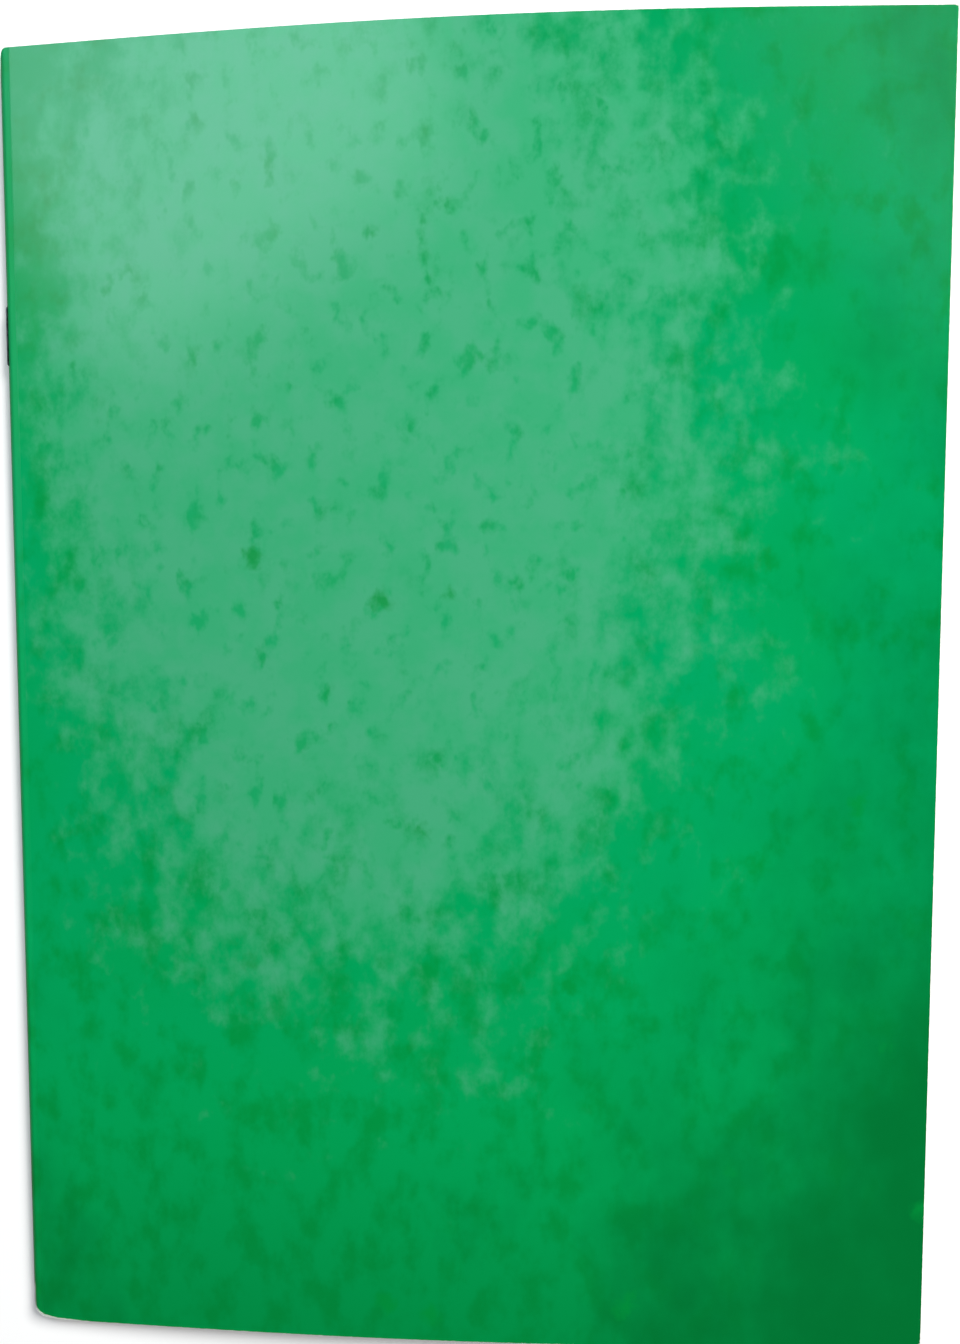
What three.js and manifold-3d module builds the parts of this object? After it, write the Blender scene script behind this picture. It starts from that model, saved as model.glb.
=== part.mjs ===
// Saddle-stitched A4 account book, closed: a folded card cover, nested folded sheets and two
// wire staples through the fold.
// Millimetres. +X runs from the spine to the fore edge, +Y from the foot to the head, +Z up
// through the closed book. The origin is the middle of its footprint, on the back cover's face.

import * as THREE from "three";
import { mergeVertices } from "three/addons/utils/BufferGeometryUtils.js";
import Module from "manifold-3d";

// Format and stock
const pageWidth = 210;
const pageHeight = 297;
const coverThickness = 0.3;
const paperThickness = 0.1;
const sheetCount = 8;
const airGap = 0.02; // between neighbouring sheets of the closed book
const springGap = 0.2; // and how much more it opens at mid page, where each sheet arches up
const cornerRadius = 5; // the two corners at the spine are rounded, the fore-edge ones are square

// Stitching wire
const wireDiameter = 0.5;
const wireInsideBend = 0.15;
const wireRoom = 0.05; // between the clinched wire and the innermost fold
const punchClearance = 0.04; // round the wire, where it pierces or dents a fold
const crownLength = 13;
const crownProud = 0.35; // how far the crown stands out of the spine
const clinchTipGap = 3; // between the tips of the two clinched legs
const stapleInset = 58; // from the head or the foot to the middle of a crown

// A leaf is free from here on, measured from the clinched wire
const gutterMargin = 0.5;

// Fineness of the facets
const archSegments = 13; // an odd number, so that the top of the arch is a level facet
const foldSegments = 12;
const cornerSegments = 10;
const bendSegments = 4;
const wireSides = 8;

// The stack, measured from the middle plane of the book outwards
const wireRadius = wireDiameter / 2;
const leafPitch = paperThickness + airGap;
const centreGap = wireRadius + wireRoom;
const coverInside = centreGap + sheetCount * leafPitch;
const coverOutside = coverInside + coverThickness;
const bookThickness = 2 * coverOutside;

// Each sheet arches higher than the one under it, from the flat back cover up to the front one
const leafCount = 2 * sheetCount;
const riseAbove = (piecesUnder) => piecesUnder * springGap;
const coverRise = riseAbove(leafCount + 1);

// Places along X, and the middle plane
const spineX = -(pageWidth - crownProud) / 2;
const foreX = spineX + pageWidth;
const foldX = spineX + coverOutside;
const gutterX = foldX + wireRadius + gutterMargin;
const crownX = spineX - crownProud + wireRadius;
const midZ = coverOutside;

// Sheets are folded and gathered oversize by this much, and the knives trim them flush
const trimWaste = 3;

const wasm = await Module();
wasm.setup();

// Solids in and out of the boolean library
function toSolid(geometry) {
  const bare = geometry.clone();
  for (const name of Object.keys(bare.attributes)) {
    if (name !== "position") bare.deleteAttribute(name);
  }
  const merged = mergeVertices(bare, 1e-5);
  return new wasm.Manifold(
    new wasm.Mesh({
      numProp: 3,
      vertProperties: new Float32Array(merged.attributes.position.array),
      triVerts: new Uint32Array(merged.index.array),
    })
  );
}

function toGeometry(solid) {
  const mesh = solid.getMesh();
  const geometry = new THREE.BufferGeometry();
  geometry.setAttribute("position", new THREE.BufferAttribute(mesh.vertProperties, 3));
  geometry.setIndex(new THREE.BufferAttribute(mesh.triVerts, 1));
  const faceted = geometry.toNonIndexed();
  faceted.computeVertexNormals();
  return faceted;
}

// The trimmed format: every sheet of the book is cut by this one prism
function trimmedFormat() {
  const head = pageHeight / 2;
  const arcX = spineX + cornerRadius;
  const arcY = head - cornerRadius;
  const outline = new THREE.Shape();
  outline.moveTo(foreX, -head);
  outline.lineTo(foreX, head);
  outline.lineTo(arcX, head);
  outline.absarc(arcX, arcY, cornerRadius, Math.PI / 2, Math.PI, false);
  outline.lineTo(spineX, -arcY);
  outline.absarc(arcX, -arcY, cornerRadius, Math.PI, 1.5 * Math.PI, false);
  const prism = new THREE.ExtrudeGeometry(outline, {
    depth: bookThickness + coverRise + 2 * trimWaste,
    bevelEnabled: false,
    curveSegments: cornerSegments,
  });
  prism.translate(0, 0, -trimWaste);
  return toSolid(prism);
}

// An oversize blank of constant section, drawn in X and Z and run along the spine
function alongSpine(section) {
  const length = pageHeight + 2 * trimWaste;
  const blank = new THREE.ExtrudeGeometry(section, {
    depth: length,
    bevelEnabled: false,
    curveSegments: foldSegments,
  });
  blank.rotateX(Math.PI / 2);
  blank.translate(0, length / 2, 0);
  return toSolid(blank);
}

// A panel or leaf between two heights at the gutter. The stiff fold springs it into a low arch,
// which comes down to its flat height again at the fore edge.
function panelBlank(lowZ, highZ, rise) {
  const width = foreX - gutterX;
  const places = [];
  for (let step = 0; step <= archSegments; step++) {
    const share = step / archSegments;
    places.push({ x: gutterX + share * width, arch: rise * Math.sin(Math.PI * share) });
  }
  places.push({ x: foreX + trimWaste, arch: 0 });
  const under = places.map((place) => new THREE.Vector2(place.x, lowZ + place.arch));
  const over = places.map((place) => new THREE.Vector2(place.x, highZ + place.arch)).reverse();
  return alongSpine(new THREE.Shape([...under, ...over]));
}

// A fold: two short flats joined by a half round about the middle plane
function foldBlank(inside, outside) {
  const outline = new THREE.Shape();
  outline.moveTo(gutterX, midZ + inside);
  outline.lineTo(foldX, midZ + inside);
  outline.absarc(foldX, midZ, inside, Math.PI / 2, 1.5 * Math.PI, false);
  outline.lineTo(gutterX, midZ - inside);
  outline.lineTo(gutterX, midZ - outside);
  outline.lineTo(foldX, midZ - outside);
  outline.absarc(foldX, midZ, outside, 1.5 * Math.PI, Math.PI / 2, true);
  outline.lineTo(gutterX, midZ + outside);
  return alongSpine(outline);
}

// The centre line of one staple: crown outside the spine, legs through the fold, and their
// ends clinched towards each other inside the centre spread
function staplePoints(middleY) {
  const bend = wireRadius + wireInsideBend;
  const clinchX = foldX;
  const half = crownLength / 2;
  const leg = [new THREE.Vector2(clinchX, clinchTipGap / 2)];
  const corners = [
    { x: clinchX - bend, turn: 0 },
    { x: crownX + bend, turn: Math.PI / 2 },
  ];
  for (const corner of corners) {
    for (let step = 0; step <= bendSegments; step++) {
      const angle = corner.turn + (step / bendSegments) * (Math.PI / 2);
      leg.push(new THREE.Vector2(corner.x + bend * Math.cos(angle), half - bend + bend * Math.sin(angle)));
    }
  }
  const mirrored = leg.map((point) => new THREE.Vector2(point.x, -point.y)).reverse();
  return [...leg, ...mirrored].map((point) => new THREE.Vector3(point.x, middleY + point.y, midZ));
}

// A bent wire as a curve that an extrusion follows from one given point to the next
class BentWire extends THREE.Curve {
  constructor(points) {
    super();
    this.points = points;
  }

  indexAt(u) {
    return Math.round(u * (this.points.length - 1));
  }

  getPointAt(u) {
    return this.points[this.indexAt(u)].clone();
  }

  getTangentAt(u) {
    const index = this.indexAt(u);
    const before = this.points[Math.max(index - 1, 0)];
    const here = this.points[index];
    const after = this.points[Math.min(index + 1, this.points.length - 1)];
    const arriving = here.clone().sub(before).normalize();
    const leaving = after.clone().sub(here).normalize();
    return arriving.add(leaving).normalize();
  }
}

function wireSolid(middleY, radius) {
  const points = staplePoints(middleY);
  const section = new THREE.Shape();
  section.absarc(0, 0, radius, 0, 2 * Math.PI, false);
  const wire = new THREE.ExtrudeGeometry(section, {
    steps: points.length - 1,
    curveSegments: wireSides,
    bevelEnabled: false,
    extrudePath: new BentWire(points),
  });
  return toSolid(wire);
}

// Materials
const coverCard = new THREE.MeshStandardMaterial({ color: 0x12a05c, roughness: 0.3, metalness: 0 });
const pagePaper = new THREE.MeshStandardMaterial({ color: 0xf2f0e8, roughness: 0.85, metalness: 0 });
const stapleWire = new THREE.MeshStandardMaterial({ color: 0xa9adb2, roughness: 0.35, metalness: 1 });

const book = new THREE.Group();

function addPiece(name, solid, material) {
  const mesh = new THREE.Mesh(toGeometry(solid), material);
  mesh.name = name;
  book.add(mesh);
}

const format = trimmedFormat();
const stapleY = pageHeight / 2 - stapleInset;
const staples = [
  { name: "staple_head", y: stapleY },
  { name: "staple_foot", y: -stapleY },
];

// Each fold is trimmed to the format, then pierced by both wires
function addFold(name, inside, outside, material) {
  let fold = foldBlank(inside, outside).intersect(format);
  for (const staple of staples) {
    fold = fold.subtract(wireSolid(staple.y, wireRadius + punchClearance));
  }
  addPiece(name, fold, material);
}

function addPanel(name, lowZ, highZ, rise, material) {
  addPiece(name, panelBlank(lowZ, highZ, rise).intersect(format), material);
}

// Cover
addPanel("back_cover", midZ - coverOutside, midZ - coverInside, 0, coverCard);
addFold("cover_spine", coverInside, coverOutside, coverCard);
addPanel("front_cover", midZ + coverInside, midZ + coverOutside, coverRise, coverCard);

// Sheets, from the outermost to the centre spread: leaves are counted from the front
function addLeaf(number, lowZ, highZ) {
  const name = `leaf_${String(number).padStart(2, "0")}`;
  addPanel(name, lowZ, highZ, riseAbove(leafCount + 1 - number), pagePaper);
}

for (let sheet = 1; sheet <= sheetCount; sheet++) {
  const inside = centreGap + (sheetCount - sheet) * leafPitch;
  const outside = inside + paperThickness;
  addLeaf(sheet, midZ + inside, midZ + outside);
  addFold(`sheet_${sheet}_fold`, inside, outside, pagePaper);
  addLeaf(leafCount + 1 - sheet, midZ - outside, midZ - inside);
}

for (const staple of staples) {
  addPiece(staple.name, wireSolid(staple.y, wireRadius), stapleWire);
}

export default book;
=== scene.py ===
"""The looks of the saddle-stitched account book: a glossy card cover with a marbled print, nested
folded sheets with a ruled account form, and two wire staples. Lengths in metres."""

import math

import bpy
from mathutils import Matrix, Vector


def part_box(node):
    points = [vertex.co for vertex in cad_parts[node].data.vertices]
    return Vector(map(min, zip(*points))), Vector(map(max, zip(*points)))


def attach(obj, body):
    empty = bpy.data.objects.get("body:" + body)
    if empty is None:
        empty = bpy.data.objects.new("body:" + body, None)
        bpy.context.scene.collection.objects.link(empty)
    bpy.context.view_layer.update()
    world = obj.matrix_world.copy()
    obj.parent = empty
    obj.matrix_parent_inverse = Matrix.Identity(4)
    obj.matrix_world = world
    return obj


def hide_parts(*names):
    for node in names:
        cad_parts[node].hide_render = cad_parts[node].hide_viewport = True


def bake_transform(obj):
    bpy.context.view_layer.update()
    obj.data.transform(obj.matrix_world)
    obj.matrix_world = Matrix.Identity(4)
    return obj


MM = 0.001

# Stock: each corner at the spine is rounded by so much across and so much along the spine
SHEET_COUNT = 8
LEAF_COUNT = 2 * SHEET_COUNT
PAPER_THICKNESS = 0.1 * MM
FOOT_CORNER = (5.6 * MM, 4.6 * MM)
HEAD_CORNER = (1.7 * MM, 4.3 * MM)

# Stitching
WIRE_RADIUS = 0.25 * MM
WIRE_BEND = 0.4 * MM  # radius of a bend, at the middle of the wire
CLINCH_TIP_GAP = 3 * MM
SEAT_RADIUS = 0.29 * MM  # of the groove that a crown presses in the spine
STAPLE_INSET = 63.3 * MM  # from the head or the foot to the middle of a crown
HEAD_STAPLE_TILT = math.radians(35)  # up round the fold from its middle plane
FOOT_STAPLE_TILT = math.radians(-15)

# Meshes: the points of a sheet lie where stations, which follow its section, meet columns, which
# are places along the spine
FOLD_STEPS = 40
PANEL_STEPS = 60
HINGE_STEPS = 10
HINGE_HALF_WIDTH = 0.7 * MM
COLUMN_SPACING = 12 * MM
COLUMN_LIMIT = 139 * MM  # the even columns end here, short of the cut edges and round corners
COLUMN_DIGITS = 6  # columns are rounded to the micrometre, so that equal ones merge
EDGE_INSETS = [0, 0.1 * MM, 0.25 * MM, 0.5 * MM, 1 * MM, 2 * MM, 4 * MM]
SEAT_OFFSETS = [0, 2, 4, 6, 6.3, 6.5, 6.65, 6.8, 6.95, 7.2]  # millimetres from a crown's middle
BEND_STEPS = 8
WIRE_ROUNDNESS = 6

# Kinds of faces of a sheet, which are also the places of their materials in its list
OUTER, INNER, CUT = range(3)

# Colours, linear
MINT = (0.050, 0.48, 0.21)
PALE_MINT = (0.070, 0.48, 0.235)
DEEP_GREEN = (0.0, 0.42, 0.113)
BLUE_GREEN = (0.0, 0.43, 0.14)
LOW_GREEN = (0.0, 0.44, 0.105)
DARK_GREEN = (0.0, 0.33, 0.05)
# Painted shade: the green that the print is darkened towards at the foot, the head and far out
PAINTED_SHADE_GREEN = (0.0, 0.205, 0.038)
CARD_CORE = (0.72, 0.80, 0.70)
CARD_INSIDE = (0.80, 0.79, 0.73)
CARD_INSIDE_SHADE = (0.72, 0.71, 0.64)
PAPER = (0.83, 0.82, 0.77)
PAPER_SHADE = (0.77, 0.76, 0.70)
RULE_BLUE = (0.33, 0.50, 0.66)
RULE_RED = (0.70, 0.30, 0.30)
STEEL = (0.24, 0.25, 0.25)
STEEL_DULL = (0.09, 0.10, 0.10)
FLOOR = (0.93, 0.93, 0.93)

# The print, in millimetres on the flat sheet: the middle of each panel's pale cloud, how far the
# cloud reaches from there, the spacing of the dark spots, and how blotches are drawn out
CLOUD_FROM_SPINE = 72.0
CLOUD_UP = 66.0
CLOUD_TO_FORE = 88.0
CLOUD_TO_SPINE = 62.0
CLOUD_HALF_HEIGHT = 128.0
SPOT_SPACING = 30.0
BLOTCH_STRETCH = (1.15, 0.85, 1)

# Bands of the print, of its wear and of the shade painted into it, in millimetres from the spine
# or up
# from the middle of the book: what a band is named after fades in or out from one of its ends to
# the other
FOLD_BAND = (3.0, 3.6)
LOW_INK_BAND = (-150.0, 30.0)
# Painted shade: where the print is darkened at the foot and at the head
FOOT_PAINTED_SHADE_BAND = (-160.0, -85.0)
HEAD_PAINTED_SHADE_BAND = (30.0, 150.0)
CORNER_BAND_ACROSS = (5.0, 16.0)
CORNER_BAND_UP = (-144.0, -134.0)
CREST_BAND_ACROSS = (1.2, 1.6)
CREST_BAND_UP = (-141.0, -139.0)

# How far in from the cut edge the laminate is rubbed off, in millimetres
EDGE_WEAR = 0.04
CORNER_WEAR = 0.40
CHIP_WEAR = 0.35
WEAR_SOFTNESS = 0.05

# Finish of the cover: the roughness of laminate, what the fold adds to it, and the worn places'
# own, with the heights of the card's slow waves and of the laminate's grain
LAMINATE_ROUGHNESS = (0.19, 0.23)
FOLD_ROUGHER = 0.3
WORN_ROUGHNESS = 0.75
CARD_WAVES = 0.12 * MM
LAMINATE_GRAIN = 0.002 * MM

# The account form, in millimetres on the flat sheet: the columns count from the spine
FORM_COLUMNS = (16.0, 34.0, 118.0, 140.0, 168.0, 196.0)
FORM_FOOT = -120.0
FORM_HEAD = 104.0
TOP_RULE = 96.0
RULE_PITCH = 8.0
RULE_WIDTH = 0.18
RULE_SOFTNESS = 0.08
RULE_STRENGTH = 0.55
COLUMN_LINE_BAND = (0.12, 0.2)
COLUMN_LINE_STRENGTH = 0.5

# Light: a window that the cover mirrors at its head, and a large lamp that it doesn't mirror
WINDOW_PLACE = (-0.26, 0.53, 0.60)
WINDOW_SIZE = (0.45, 0.34)
WINDOW_POWER = 1.55
LAMP_PLACE = (1.45, 1.5, 1.6)
LAMP_SIZE = (1.1, 1.1)
LAMP_POWER = 92
COOL_WHITE = (0.72, 0.88, 1.0)
WARM_WHITE = (1.0, 0.99, 0.97)
ROOM_LIGHT = 0.02
BACKDROP_GLOW = 0.95

# Floor: its glow, which only the camera sees, grows with the distance from the book
FLOOR_REACH = 3.0
FLOOR_LEVEL = -0.05 * MM
FLOOR_GLOW = 0.30
GLOW_NEAR = 0.2
GLOW_FAR = 0.8

# Camera, fitted to the edges of the cover in the photograph
CAMERA_PLACE = (-2.21 * MM, -0.04 * MM, 220.84 * MM)
CAMERA_TURN = (-0.0591, 0.0568, -0.0044)
CAMERA_SENSOR = 36
CAMERA_LENS = 25.446
CAMERA_SHIFT = (0.0595, 0.067)
CAMERA_NEAR = 0.01
CAMERA_FAR = 20


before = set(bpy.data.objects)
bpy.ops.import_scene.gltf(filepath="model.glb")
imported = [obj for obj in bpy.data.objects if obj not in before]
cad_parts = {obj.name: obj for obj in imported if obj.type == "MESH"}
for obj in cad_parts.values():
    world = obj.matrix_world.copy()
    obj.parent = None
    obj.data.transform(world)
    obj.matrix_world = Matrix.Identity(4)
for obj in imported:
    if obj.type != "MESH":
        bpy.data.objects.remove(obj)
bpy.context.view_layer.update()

spine_low, spine_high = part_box("cover_spine")
back_low, back_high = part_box("back_cover")
front_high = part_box("front_cover")[1]
spine_x = spine_low.x
gutter_x = spine_high.x
fore_x = front_high.x
head = front_high.y
mid_z = (spine_low.z + spine_high.z) / 2
cover_outside = (spine_high.z - spine_low.z) / 2
card = back_high.z - back_low.z
cover_inside = cover_outside - card
fold_x = spine_x + cover_outside
seam_x = gutter_x - HINGE_HALF_WIDTH
hinge_end_x = gutter_x + HINGE_HALF_WIDTH

# The middle of the bent wire, from the head staple's node: both staples are alike
staple_low, staple_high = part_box("staple_head")
crown_x = staple_low.x + WIRE_RADIUS
crown_half = (staple_high.y - staple_low.y) / 2 - WIRE_RADIUS
clinch_x = staple_high.x - WIRE_RADIUS

# Each staple's node, with the middle of its crown along the spine and its tilt: the photograph
# shows the crown at the head and hides the one at the foot
crowns = {
    "staple_head": (head - STAPLE_INSET, HEAD_STAPLE_TILT),
    "staple_foot": (STAPLE_INSET - head, FOOT_STAPLE_TILT),
}


def add_object(name, data):
    added = bpy.data.objects.new(name, data)
    bpy.context.collection.objects.link(added)
    return added


# Outline of the trimmed book, seen from above

def half_length(x, corner):
    """From the middle of the book to its trimmed head or foot, at one place across it."""
    across, up = corner
    inset = min(max(spine_x + across - x, 0) / across, 1)
    return head - up + up * math.sqrt(1 - inset**2)


def rim_distance(x, y):
    """From a point to the nearest cut edge."""
    across, up = HEAD_CORNER if y > 0 else FOOT_CORNER
    from_side = (spine_x + across - x) / across
    from_end = (abs(y) - head + up) / up
    if from_side > 0 and from_end > 0:
        return (1 - math.hypot(from_side, from_end)) * min(across, up)
    return min(head - abs(y), fore_x - x)


def even_columns():
    """Evenly spaced columns, away from head and foot."""
    count = round(COLUMN_LIMIT / COLUMN_SPACING)
    places = [step * COLUMN_LIMIT / count for step in range(-count, count + 1)]
    return [round(place, COLUMN_DIGITS) for place in places]


def cover_columns():
    """The same with more columns at the seats of the two staples."""
    offsets = [side * offset * MM for side in (-1, 1) for offset in SEAT_OFFSETS]
    places = [middle + offset for middle, _ in crowns.values() for offset in offsets]
    seats = [round(place, COLUMN_DIGITS) for place in places]
    return sorted({*even_columns(), *seats})


def columns_at(x, columns):
    """The given columns, and those near the head and the foot at one place across the book."""
    foot_half = half_length(x, FOOT_CORNER)
    head_half = half_length(x, HEAD_CORNER)
    near_foot = [-foot_half + inset for inset in EDGE_INSETS]
    near_head = [head_half - inset for inset in reversed(EDGE_INSETS)]
    return near_foot + columns + near_head


# Sections: a list of stations from one end of a sheet to the other, each with its place on the
# outer and on the inner face. The faces of a level stretch are a pair of heights, outer and inner

def panel_stations(start_x, end_x, faces_z, rise, steps):
    """A nearly flat stretch between two places along x, on the low arch of the closed book."""
    outer_z, inner_z = faces_z
    stations = []
    for step in range(steps + 1):
        x = start_x + (end_x - start_x) * step / steps
        share = max(x - gutter_x, 0) / (fore_x - gutter_x)
        arch = rise * math.sin(math.pi * share)
        stations.append(((x, outer_z + arch), (x, inner_z + arch)))
    return stations


def fold_stations(outside, inside):
    """The half round about the middle plane, from below to above."""
    stations = []
    for step in range(FOLD_STEPS + 1):
        angle = (step / FOLD_STEPS - 0.5) * math.pi
        across, up = math.cos(angle), math.sin(angle)
        outer = (fold_x - outside * across, mid_z + outside * up)
        inner = (fold_x - inside * across, mid_z + inside * up)
        stations.append((outer, inner))
    return stations


def joined(*stretches):
    """Stretches end to end, without the stations that they share."""
    stations = list(stretches[0])
    for stretch in stretches[1:]:
        stations += stretch[1:]
    return stations


def developed(stations, zero_x):
    """How far along the unfolded sheet each station is, zero where it passes the given place."""
    middles = []
    for outer, inner in stations:
        middles.append(((outer[0] + inner[0]) / 2, (outer[1] + inner[1]) / 2))
    lengths = [0.0]
    for before, after in zip(middles, middles[1:]):
        lengths.append(lengths[-1] + math.dist(before, after))
    nearest = min(range(len(middles)), key=lambda n: abs(middles[n][0] - zero_x))
    return [length - lengths[nearest] for length in lengths]


def sheet_faces(station_count, width):
    """The corners and the kind of each face of a closed sheet. Its points run station by station,
    and in each of these over the columns of the outer side and then of the inner one."""
    faces, kinds = [], []

    def face(kind, *corners):
        faces.append(corners)
        kinds.append(kind)

    row = 2 * width
    end = width - 1
    last = station_count - 1
    for i in range(last):
        here, there = i * row, (i + 1) * row
        for j in range(end):
            face(OUTER, here + j, there + j, there + j + 1, here + j + 1)
            inner_here, inner_there = here + width + j, there + width + j
            face(INNER, inner_here, inner_here + 1, inner_there + 1, inner_there)
        face(CUT, here, here + width, there + width, there)
        face(CUT, here + end, there + end, there + width + end, here + width + end)
    for j in range(end):
        face(CUT, j, j + 1, width + j + 1, width + j)
        top = last * row + j
        face(CUT, top, top + width, top + width + 1, top + 1)
    return faces, kinds


def sheet_object(name, stations, along, materials, columns, shape=None):
    """A closed sheet from its section, with its cut edges, and UVs in metres on the flat sheet.
    The outer side's points pass through shape, if there is one."""
    vertices, flat, rims = [], [], []
    for station, u in zip(stations, along):
        outer_x = station[OUTER][0]
        for side in (OUTER, INNER):
            x, z = station[side]
            for y in columns_at(outer_x, columns):
                place = (x, y, z)
                if shape and side == OUTER:
                    place = shape(*place)
                vertices.append(place)
                flat.append((u, y))
                rims.append(rim_distance(outer_x, y))
    faces, kinds = sheet_faces(len(stations), len(columns) + 2 * len(EDGE_INSETS))
    mesh = bpy.data.meshes.new(name)
    mesh.from_pydata(vertices, [], faces)
    layer = mesh.uv_layers.new(name="sheet")
    for loop in mesh.loops:
        layer.data[loop.index].uv = flat[loop.vertex_index]
    rim = mesh.attributes.new("rim_distance", "FLOAT", "POINT")
    rim.data.foreach_set("value", rims)
    for material in materials:
        mesh.materials.append(material)
    mesh.polygons.foreach_set("material_index", kinds)
    mesh.polygons.foreach_set("use_smooth", [kind != CUT for kind in kinds])
    cut = {tuple(sorted(pair)) for corners, kind in zip(faces, kinds) if kind == CUT
           for pair in zip(corners, corners[1:] + corners[:1])}
    for edge in mesh.edges:
        edge.use_edge_sharp = edge.key in cut
    return add_object(name, mesh)


# Procedural materials

class Shader:
    """A material whose nodes are made one call at a time."""

    def __init__(self, name):
        self.material = bpy.data.materials.new(name)
        self.material.use_nodes = True
        self.tree = self.material.node_tree
        self.surface = self.tree.nodes["Principled BSDF"]

    def fill(self, socket, value):
        if isinstance(value, bpy.types.NodeSocket):
            self.tree.links.new(value, socket)
        elif socket.type == "RGBA":
            socket.default_value = (*value, 1.0)
        else:
            socket.default_value = value

    def node(self, kind, inputs, **settings):
        made = self.tree.nodes.new(kind)
        for key, value in settings.items():
            setattr(made, key, value)
        for key, value in inputs.items():
            self.fill(made.inputs[key], value)
        return made

    def set(self, **inputs):
        for key, value in inputs.items():
            self.fill(self.surface.inputs[key.replace("_", " ")], value)

    def in_millimetres(self, place):
        inputs = {0: place, 1: (1 / MM, 1 / MM, 1 / MM)}
        return self.node("ShaderNodeVectorMath", inputs, operation="MULTIPLY").outputs[0]

    def sheet_place(self):
        """The place on the flat sheet, in millimetres."""
        uv = self.node("ShaderNodeUVMap", {}, uv_map="sheet").outputs["UV"]
        return self.in_millimetres(uv)

    def object_place(self):
        """The place in the book's frame, in millimetres."""
        place = self.node("ShaderNodeTexCoord", {}).outputs["Object"]
        return self.in_millimetres(place)

    def noise(self, place, size, detail=3.0, roughness=0.5, stretch=(1, 1, 1), offset=(0, 0, 0)):
        """A noise whose features are about size millimetres across."""
        inputs = {"Vector": place, "Scale": stretch, "Location": offset}
        mapped = self.node("ShaderNodeMapping", inputs)
        inputs = {
            "Vector": mapped.outputs[0],
            "Scale": 1 / size,
            "Detail": detail,
            "Roughness": roughness,
        }
        return self.node("ShaderNodeTexNoise", inputs).outputs["Fac"]

    def maths(self, operation, first, second=0.0):
        return self.node("ShaderNodeMath", {0: first, 1: second}, operation=operation).outputs[0]

    def plus(self, first, second):
        return self.maths("ADD", first, second)

    def minus(self, first, second):
        return self.maths("SUBTRACT", first, second)

    def times(self, first, second):
        return self.maths("MULTIPLY", first, second)

    def divided(self, first, second):
        return self.maths("DIVIDE", first, second)

    def larger(self, first, second):
        return self.maths("MAXIMUM", first, second)

    def absolute(self, value):
        return self.maths("ABSOLUTE", value)

    def between(self, value, low, high):
        """One between two values, and zero outside them."""
        above = self.maths("GREATER_THAN", value, low)
        below = self.maths("LESS_THAN", value, high)
        return self.times(above, below)

    def step(self, value, low, high, start=0.0, end=1.0):
        """start below low, end above high, and smooth between them."""
        inputs = {0: value, 1: low, 2: high, 3: start, 4: end}
        return self.node("ShaderNodeMapRange", inputs, interpolation_type="SMOOTHSTEP").outputs[0]

    def fall(self, value, low, high, start=1.0):
        """start below low, zero above high, and smooth between them."""
        return self.step(value, low, high, start, 0.0)

    def mix(self, share, first, second):
        inputs = {0: share, 6: first, 7: second}
        return self.node("ShaderNodeMix", inputs, data_type="RGBA").outputs[2]

    def bump(self, height, distance, strength=1.0, under=None):
        inputs = {"Height": height, "Distance": distance, "Strength": strength}
        if under is not None:
            inputs["Normal"] = under
        return self.node("ShaderNodeBump", inputs).outputs[0]


def rubbed_share(shader, place, along, up):
    """Where the laminate is rubbed off: along the cut edge, most of all at the foot corner, and
    on the crest of the fold there."""
    rim = shader.node("ShaderNodeAttribute", {}, attribute_name="rim_distance").outputs["Fac"]
    rim = shader.times(rim, 1 / MM)
    chips = shader.noise(place, 1.6, 4.0, 0.6)
    near_spine = shader.fall(shader.absolute(along), *CORNER_BAND_ACROSS)
    near_foot = shader.fall(up, *CORNER_BAND_UP)
    corner = shader.times(near_spine, near_foot)
    wear = shader.plus(EDGE_WEAR, shader.times(corner, CORNER_WEAR))
    wear = shader.plus(wear, shader.times(shader.minus(chips, 0.5), CHIP_WEAR))
    worn = shader.step(shader.minus(wear, rim), 0.0, WEAR_SOFTNESS)
    on_crest = shader.fall(shader.absolute(along), *CREST_BAND_ACROSS)
    on_crest = shader.times(on_crest, shader.fall(up, *CREST_BAND_UP))
    return shader.larger(worn, shader.times(on_crest, 0.9))


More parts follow.
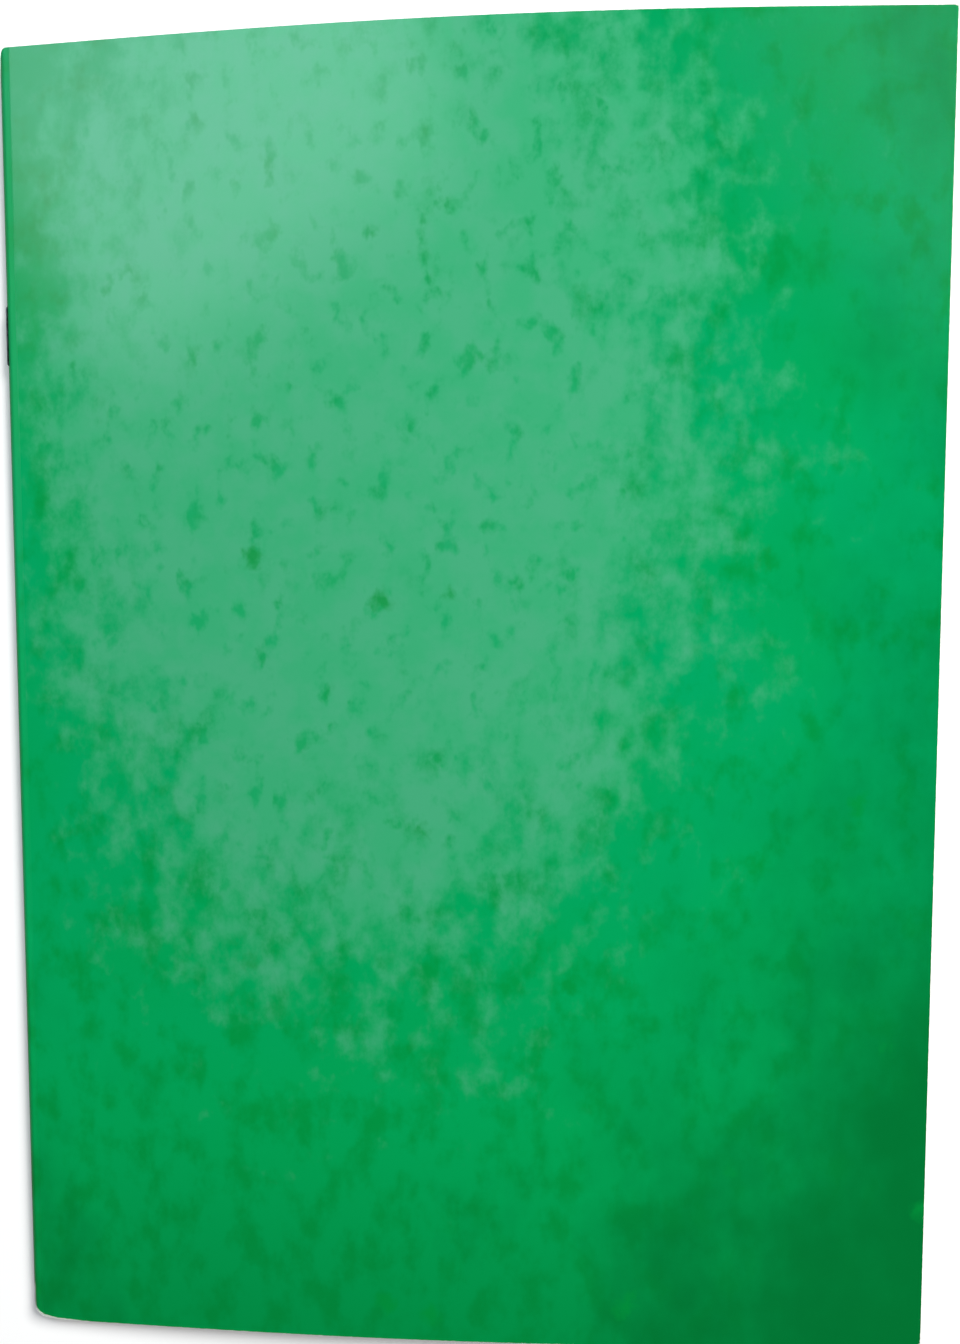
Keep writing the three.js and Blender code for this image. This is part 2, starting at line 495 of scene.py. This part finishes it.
def printed_card():
    """Marbled green print under a glossy laminate, rubbed through to the core at its edges, and
    darkened with painted shade at its foot, its head and far from its pale clouds.
    """
    shader = Shader("printed_card")
    place = shader.sheet_place()
    parts = shader.node("ShaderNodeSeparateXYZ", {0: place})
    along, up = parts.outputs[0], parts.outputs[1]

    # The pale cloud in the middle of each panel: reach is zero there and about one at its rim
    offset = shader.minus(shader.absolute(along), CLOUD_FROM_SPINE)
    towards_fore = shader.divided(offset, CLOUD_TO_FORE)
    towards_spine = shader.divided(offset, -CLOUD_TO_SPINE)
    across_cloud = shader.larger(towards_fore, towards_spine)
    up_cloud = shader.divided(shader.minus(up, CLOUD_UP), CLOUD_HALF_HEIGHT)
    across_squared = shader.maths("POWER", across_cloud, 2.0)
    up_squared = shader.maths("POWER", shader.absolute(up_cloud), 2.0)
    reach_squared = shader.plus(across_squared, up_squared)
    drift = shader.noise(place, 30.0, 3.0, 0.5, (1.1, 0.9, 1))
    drift = shader.times(shader.minus(drift, 0.5), 0.8)
    reach = shader.plus(shader.maths("SQRT", reach_squared), drift)

    # The deep ink lies in soft blotches, faint in the cloud and closing up towards its outside
    large = shader.noise(place, 7.0, 4.0, 0.55, BLOTCH_STRETCH, (31, 7, 0))
    small = shader.noise(place, 2.4, 2.0, 0.5, BLOTCH_STRETCH, (64, 23, 0))
    field = shader.plus(shader.step(reach, 0.5, 1.55, 0.0, 1.5), shader.times(large, 2.2))
    field = shader.plus(field, shader.times(small, 0.45))
    deep = shader.step(field, 1.4, 2.45)
    flecks = shader.noise(place, 5.5, 3.0, 0.5, (1.15, 0.8, 1), (12, 41, 0))
    flecks = shader.plus(flecks, shader.times(large, 0.45))
    deep = shader.larger(deep, shader.step(flecks, 0.75, 0.98, 0.0, 0.75))
    on_fold = shader.fall(shader.absolute(along), *FOLD_BAND)
    deep = shader.larger(deep, on_fold)

    # Each ink is itself uneven, and the deep one changes towards the foot
    soft = shader.noise(place, 12.0, 5.0, 0.6, (1, 0.9, 1), (5, 60, 0))
    light = shader.mix(shader.step(soft, 0.38, 0.62), MINT, PALE_MINT)
    tint = shader.noise(place, 34.0, 3.0, 0.5, (1, 1, 1), (80, 15, 0))
    dark = shader.mix(shader.step(tint, 0.3, 0.65), DEEP_GREEN, BLUE_GREEN)
    low_down = shader.fall(up, *LOW_INK_BAND)
    dark = shader.mix(low_down, dark, LOW_GREEN)
    colour = shader.mix(deep, light, dark)
    mottle = shader.noise(place, 9.0, 4.0, 0.55, (1.2, 0.8, 1), (12, 90, 0))
    darker = shader.plus(mottle, shader.times(low_down, 0.06))
    darker = shader.times(shader.step(darker, 0.48, 0.74, 0.0, 0.75), deep)
    colour = shader.mix(darker, colour, DARK_GREEN)

    # Painted shade for the light's falloff: the print is darkened at the foot, a little at the
    # head, and far from the cloud
    far_out = shader.plus(reach, shader.times(large, 0.3))
    far_out = shader.plus(far_out, shader.times(offset, 0.0014))
    painted_foot_shade = shader.fall(up, *FOOT_PAINTED_SHADE_BAND, 0.5)
    painted_head_shade = shader.times(shader.step(up, *HEAD_PAINTED_SHADE_BAND, 0.0, 0.2), deep)
    painted_shade_share = shader.larger(shader.step(far_out, 1.45, 2.5), shader.plus(painted_foot_shade, painted_head_shade))
    colour = shader.mix(painted_shade_share, colour, PAINTED_SHADE_GREEN)

    # A few round dark spots
    inputs = {"Vector": place, "Scale": 1 / SPOT_SPACING, "Randomness": 1.0}
    cells = shader.node("ShaderNodeTexVoronoi", inputs)
    wobble = shader.times(shader.minus(small, 0.5), 0.16)
    spot = shader.fall(shader.plus(cells.outputs["Distance"], wobble), 0.02, 0.12, 0.8)
    colour = shader.mix(spot, colour, DARK_GREEN)

    worn = rubbed_share(shader, place, along, up)
    colour = shader.mix(worn, colour, CARD_CORE)

    # The card waves a little, and the laminate is rougher where it is folded or worn
    fine = shader.noise(place, 0.7, 2.0, 0.5)
    broad = shader.noise(place, 38.0, 2.0, 0.4)
    normal = shader.bump(broad, CARD_WAVES)
    normal = shader.bump(fine, LAMINATE_GRAIN, under=normal)
    rough = shader.step(soft, 0.3, 0.7, *LAMINATE_ROUGHNESS)
    rough = shader.plus(rough, shader.times(on_fold, FOLD_ROUGHER))
    rough = shader.larger(rough, shader.times(worn, WORN_ROUGHNESS))
    shader.set(Base_Color=colour, Normal=normal, Roughness=rough)
    return shader.material


def bare_card():
    """The uncoated inner face of the cover."""
    shader = Shader("bare_card")
    place = shader.sheet_place()
    clouds = shader.noise(place, 5.0, 6.0, 0.65)
    fibres = shader.noise(place, 0.5, 3.0, 0.6, (1, 0.3, 1))
    colour = shader.mix(shader.step(clouds, 0.3, 0.7), CARD_INSIDE, CARD_INSIDE_SHADE)
    shader.set(Base_Color=colour, Roughness=0.8)
    shader.set(Normal=shader.bump(fibres, 0.015 * MM, 0.6))
    return shader.material


def card_core():
    """The cut edge of the card: pale board with the layers just showing."""
    shader = Shader("card_core")
    place = shader.object_place()
    layers = shader.noise(place, 0.6, 3.0, 0.6, (0.2, 0.2, 6))
    colour = shader.mix(shader.step(layers, 0.35, 0.7), CARD_CORE, CARD_INSIDE_SHADE)
    shader.set(Base_Color=colour, Roughness=0.85)
    shader.set(Normal=shader.bump(layers, 0.01 * MM, 0.5))
    return shader.material


def rule_lines(shader, distance, pitch, width):
    """One at each line of a ruling, where distance is measured across the lines."""
    cycle = shader.maths("PINGPONG", distance, pitch / 2)
    return shader.fall(cycle, width / 2, width / 2 + RULE_SOFTNESS)


def account_paper():
    """Uncoated writing paper with a plain ruled account form, faint and without any words."""
    shader = Shader("account_paper")
    place = shader.sheet_place()
    parts = shader.node("ShaderNodeSeparateXYZ", {0: place})
    along, up = parts.outputs[0], parts.outputs[1]
    from_spine = shader.absolute(along)
    clouds = shader.noise(place, 4.0, 6.0, 0.65)
    fibres = shader.noise(place, 0.4, 3.0, 0.6)
    colour = shader.mix(shader.step(clouds, 0.3, 0.7), PAPER, PAPER_SHADE)
    across_form = shader.between(from_spine, FORM_COLUMNS[0], FORM_COLUMNS[-1])
    in_form = shader.times(across_form, shader.between(up, FORM_FOOT, TOP_RULE))
    lines = shader.times(rule_lines(shader, up, RULE_PITCH, RULE_WIDTH), in_form)
    colour = shader.mix(shader.times(lines, RULE_STRENGTH), colour, RULE_BLUE)
    columns = 0.0
    for column in FORM_COLUMNS:
        off = shader.absolute(shader.minus(from_spine, column))
        columns = shader.larger(columns, shader.fall(off, *COLUMN_LINE_BAND))
    columns = shader.times(columns, shader.between(up, FORM_FOOT, FORM_HEAD))
    colour = shader.mix(shader.times(columns, COLUMN_LINE_STRENGTH), colour, RULE_RED)
    shader.set(Base_Color=colour, Roughness=0.82)
    shader.set(Normal=shader.bump(fibres, 0.01 * MM, 0.5))
    return shader.material


def paper_edge():
    """The knife-cut edge of a sheet."""
    shader = Shader("paper_edge")
    place = shader.object_place()
    streaks = shader.noise(place, 0.8, 3.0, 0.6, (1, 1, 0.2))
    colour = shader.mix(shader.step(streaks, 0.35, 0.7), PAPER, PAPER_SHADE)
    shader.set(Base_Color=colour, Roughness=0.9)
    shader.set(Normal=shader.bump(streaks, 0.01 * MM, 0.5))
    return shader.material


def staple_steel():
    """Drawn steel wire, dull with fine lengthwise scratches."""
    shader = Shader("staple_steel")
    place = shader.object_place()
    scratches = shader.noise(place, 0.12, 3.0, 0.6, (1, 0.08, 1))
    tarnish = shader.noise(place, 1.2, 4.0, 0.6)
    colour = shader.mix(shader.step(tarnish, 0.35, 0.7), STEEL, STEEL_DULL)
    rough = shader.step(tarnish, 0.3, 0.7, 0.28, 0.5)
    shader.set(Base_Color=colour, Metallic=1.0, Roughness=rough)
    shader.set(Normal=shader.bump(scratches, 0.004 * MM, 0.7))
    return shader.material


# The cover: one piece wraps the back panel and the spine as far as the seam, and the other goes
# on from there to the front's fore edge

def tilted(x, z, angle):
    """A place turned about the axis of the fold, up from the spine."""
    across, up = x - fold_x, z - mid_z
    cos, sin = math.cos(angle), math.sin(angle)
    return fold_x + across * cos + up * sin, mid_z - across * sin + up * cos


def crown_seat(x, y, z):
    """Presses the staple crowns' seats into the outside of the spine."""
    if x > fold_x:
        return x, y, z
    for middle, tilt in crowns.values():
        level_x, level_z = tilted(x, z, -tilt)
        beyond = max(abs(y - middle) - crown_half, 0)
        room = SEAT_RADIUS**2 - (level_z - mid_z) ** 2 - beyond**2
        if room > 0:
            x, z = tilted(max(level_x, crown_x + math.sqrt(room)), level_z, tilt)
    return x, y, z


paper = account_paper()
page_materials = [paper, paper, paper_edge()]
cover_materials = [printed_card(), bare_card(), card_core()]

cover_above = (mid_z + cover_outside, mid_z + cover_inside)
cover_below = (mid_z - cover_outside, mid_z - cover_inside)
cover_rise = front_high.z - (mid_z + cover_outside)

back_panel = panel_stations(fore_x, fold_x, cover_below, 0, PANEL_STEPS)
spine_round = fold_stations(cover_outside, cover_inside)
spine_top = panel_stations(fold_x, seam_x, cover_above, 0, 1)
wrap = joined(back_panel, spine_round, spine_top)
wrap_along = developed(wrap, spine_x)
columns = cover_columns()
cover_wrap = sheet_object("cover_wrap", wrap, wrap_along, cover_materials, columns, crown_seat)
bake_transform(cover_wrap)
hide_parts("back_cover", "cover_spine")

# The second piece begins with a short strip at the hinge, across the gutter, and goes on from
# there to the front's fore edge
hinge = panel_stations(seam_x, hinge_end_x, cover_above, cover_rise, HINGE_STEPS)
panel = panel_stations(hinge_end_x, fore_x, cover_above, cover_rise, PANEL_STEPS)
front = joined(hinge, panel)
front_along = [wrap_along[-1] + length for length in developed(front, seam_x)]
cover_front = sheet_object("cover_front", front, front_along, cover_materials, even_columns())
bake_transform(cover_front)
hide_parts("front_cover")


# The sheets, counted from the outermost

for sheet in range(1, SHEET_COUNT + 1):
    front_leaf = f"leaf_{sheet:02d}"
    back_leaf = f"leaf_{LEAF_COUNT + 1 - sheet:02d}"
    fold_node = f"sheet_{sheet}_fold"
    fold_low, fold_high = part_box(fold_node)
    outside = (fold_high.z - fold_low.z) / 2
    inside = outside - PAPER_THICKNESS
    above = (mid_z + outside, mid_z + inside)
    below = (mid_z - outside, mid_z - inside)
    front_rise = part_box(front_leaf)[1].z - (mid_z + outside)
    back_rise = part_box(back_leaf)[1].z - (mid_z - inside)

    # The fold and the leaf of the front half
    under = panel_stations(gutter_x, fold_x, below, 0, 1)
    over = panel_stations(fold_x, gutter_x, above, 0, 1)
    leaf = panel_stations(gutter_x, fore_x, above, front_rise, PANEL_STEPS)
    section = joined(under, fold_stations(outside, inside), over, leaf)
    along = developed(section, fold_x - (outside + inside) / 2)
    name = f"sheet_{sheet}_front"
    front_half = sheet_object(name, section, along, page_materials, even_columns())
    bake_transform(front_half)
    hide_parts(front_leaf, fold_node)

    # The leaf of the back half
    leaf = panel_stations(fore_x, hinge_end_x, below, back_rise, PANEL_STEPS)
    hinge = panel_stations(hinge_end_x, gutter_x, below, back_rise, HINGE_STEPS)
    section = joined(leaf, hinge)
    along = developed(section, gutter_x)
    name = f"sheet_{sheet}_back"
    back_half = sheet_object(name, section, along, page_materials, even_columns())
    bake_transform(back_half)
    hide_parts(back_leaf)


# The staples

def arc(centre_x, centre_y, start):
    """A quarter turn of the bent wire's centre line."""
    points = []
    for step in range(BEND_STEPS + 1):
        angle = start + step / BEND_STEPS * math.pi / 2
        x = centre_x + WIRE_BEND * math.cos(angle)
        y = centre_y + WIRE_BEND * math.sin(angle)
        points.append((x, y))
    return points


def staple_object(name, middle, tilt, material):
    """A bent wire: crown outside the spine, legs through the fold, and their clinched ends."""
    leg = [(clinch_x, CLINCH_TIP_GAP / 2)]
    leg += arc(clinch_x - WIRE_BEND, crown_half - WIRE_BEND, 0)
    leg += arc(crown_x + WIRE_BEND, crown_half - WIRE_BEND, math.pi / 2)
    path = leg + [(x, -y) for x, y in reversed(leg)]
    curve = bpy.data.curves.new(name, "CURVE")
    curve.dimensions = "3D"
    curve.bevel_depth = WIRE_RADIUS
    curve.bevel_resolution = WIRE_ROUNDNESS
    curve.use_fill_caps = True
    spline = curve.splines.new("POLY")
    spline.points.add(len(path) - 1)
    for point, (x, y) in zip(spline.points, path):
        turned_x, z = tilted(x, mid_z, tilt)
        point.co = (turned_x, middle + y, z, 1)
    curve.materials.append(material)
    return add_object(name, curve)


steel = staple_steel()
for node, (middle, tilt) in crowns.items():
    wire = staple_object(f"{node}_wire", middle, tilt, steel)
    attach(wire, "fold")
    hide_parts(node)


# Floor, light and camera

def floor_object():
    mesh = bpy.data.meshes.new("floor")
    low, high = -FLOOR_REACH, FLOOR_REACH
    corners = [(low, low), (high, low), (high, high), (low, high)]
    mesh.from_pydata([(x, y, FLOOR_LEVEL) for x, y in corners], [], [(0, 1, 2, 3)])
    shader = Shader("floor")
    shader.set(Base_Color=FLOOR, Roughness=0.9, Specular_IOR_Level=0.0)
    camera_ray = shader.node("ShaderNodeLightPath", {}).outputs["Is Camera Ray"]
    place = shader.node("ShaderNodeTexCoord", {}).outputs["Object"]
    away = shader.node("ShaderNodeVectorMath", {0: place}, operation="LENGTH").outputs["Value"]
    glow = shader.step(away, GLOW_NEAR, GLOW_FAR, FLOOR_GLOW, BACKDROP_GLOW)
    shader.set(Emission_Color=FLOOR, Emission_Strength=shader.times(camera_ray, glow))
    mesh.materials.append(shader.material)
    floor = add_object("floor", mesh)


def soft_light(name, place, size, power, colour):
    """A rectangular lamp that faces the book."""
    light = bpy.data.lights.new(name, "AREA")
    light.shape = "RECTANGLE"
    light.size, light.size_y = size
    light.energy = power
    light.color = colour
    lamp = add_object(name, light)
    lamp.location = place
    lamp.rotation_euler = (-Vector(place)).to_track_quat("-Z", "Y").to_euler()
    return lamp


def room_light():
    """A faint even light, and a pale backdrop for the camera alone."""
    world = bpy.data.worlds.new("room")
    world.use_nodes = True
    background = world.node_tree.nodes["Background"]
    background.inputs["Color"].default_value = (1, 1, 1, 1)
    tree = world.node_tree
    path = tree.nodes.new("ShaderNodeLightPath")
    strength = tree.nodes.new("ShaderNodeMapRange")
    strength.inputs["To Min"].default_value = ROOM_LIGHT
    strength.inputs["To Max"].default_value = BACKDROP_GLOW
    tree.links.new(path.outputs["Is Camera Ray"], strength.inputs["Value"])
    tree.links.new(strength.outputs["Result"], background.inputs["Strength"])
    bpy.context.scene.world = world


def photo_camera():
    data = bpy.data.cameras.new("camera")
    data.sensor_fit = "VERTICAL"
    data.sensor_height = CAMERA_SENSOR
    data.lens = CAMERA_LENS
    data.shift_x, data.shift_y = CAMERA_SHIFT
    data.clip_start = CAMERA_NEAR
    data.clip_end = CAMERA_FAR
    camera = add_object("camera", data)
    camera.location = CAMERA_PLACE
    camera.rotation_euler = CAMERA_TURN
    bpy.context.scene.camera = camera


floor_object()
soft_light("window", WINDOW_PLACE, WINDOW_SIZE, WINDOW_POWER, COOL_WHITE)
lamp = soft_light("lamp", LAMP_PLACE, LAMP_SIZE, LAMP_POWER, WARM_WHITE)
lamp.visible_glossy = False
room_light()
photo_camera()
bpy.context.scene.view_settings.view_transform = "Standard"
